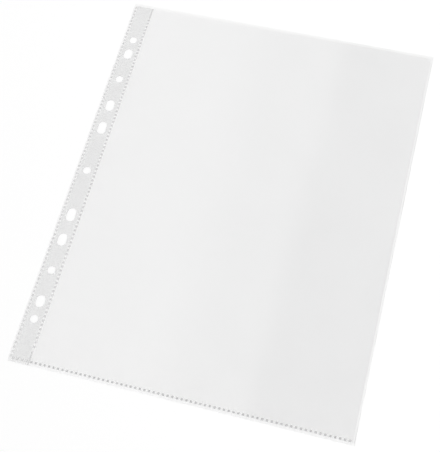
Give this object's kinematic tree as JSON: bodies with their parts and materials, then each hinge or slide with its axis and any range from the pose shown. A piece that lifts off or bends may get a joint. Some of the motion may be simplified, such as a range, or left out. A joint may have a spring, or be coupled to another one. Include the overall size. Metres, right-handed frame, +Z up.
{
  "type": "sheet protector",
  "caption": "Clear A4 punched pocket lying flat: two thin films folded at one side, welded at the foot, open at the top, with a reinforced ring-hole strip that the page flexes on.",
  "frame": {"origin": "on the surface that the pocket lies on, under the middle of its outline", "axes": "+X from the binding edge to the folded edge, +Y from the welded foot to the open mouth, +Z up out of the front film"},
  "size_m": [0.242, 0.3076, 0.0008],
  "materials": {
    "clear_film": "clear polypropylene film, fine-grained and softly glossy",
    "strip_film": "heavier, hazier polypropylene film",
    "weld": "film pressed and melted to a frosted square spot"
  },
  "bodies": {
    "strip": {"rear_margin": "clear_film", "binding_strip": "strip_film", "front_margin": "clear_film", "edge_weld": "weld", "seam_weld": "weld", "strip_foot_weld": "weld"},
    "pocket": {"rear_flex_line": "clear_film", "front_flex_line": "clear_film", "rear_film": "clear_film", "front_hem": "clear_film", "foot_weld": "weld", "foot_fold": "clear_film", "side_fold": "clear_film", "front_seam_side": "clear_film", "front_fold_side": "clear_film"},
    "front_wall": {"front_film": "clear_film"}
  },
  "joints": [
    {"name": "page_flex", "type": "hinge", "parent": "strip", "child": "pocket", "pos_m": [-0.1042, 0, 0.00017], "axis": [0, -1, 0], "range_deg": [0, 150], "deforming": ["rear_flex_line", "front_flex_line"]},
    {"name": "mouth_open", "type": "hinge", "parent": "pocket", "child": "front_wall", "pos_m": [0, -0.1501, 0.00026], "axis": [1, 0, 0], "range_deg": [0, 4], "deforming": ["front_seam_side", "front_fold_side"]}
  ]
}
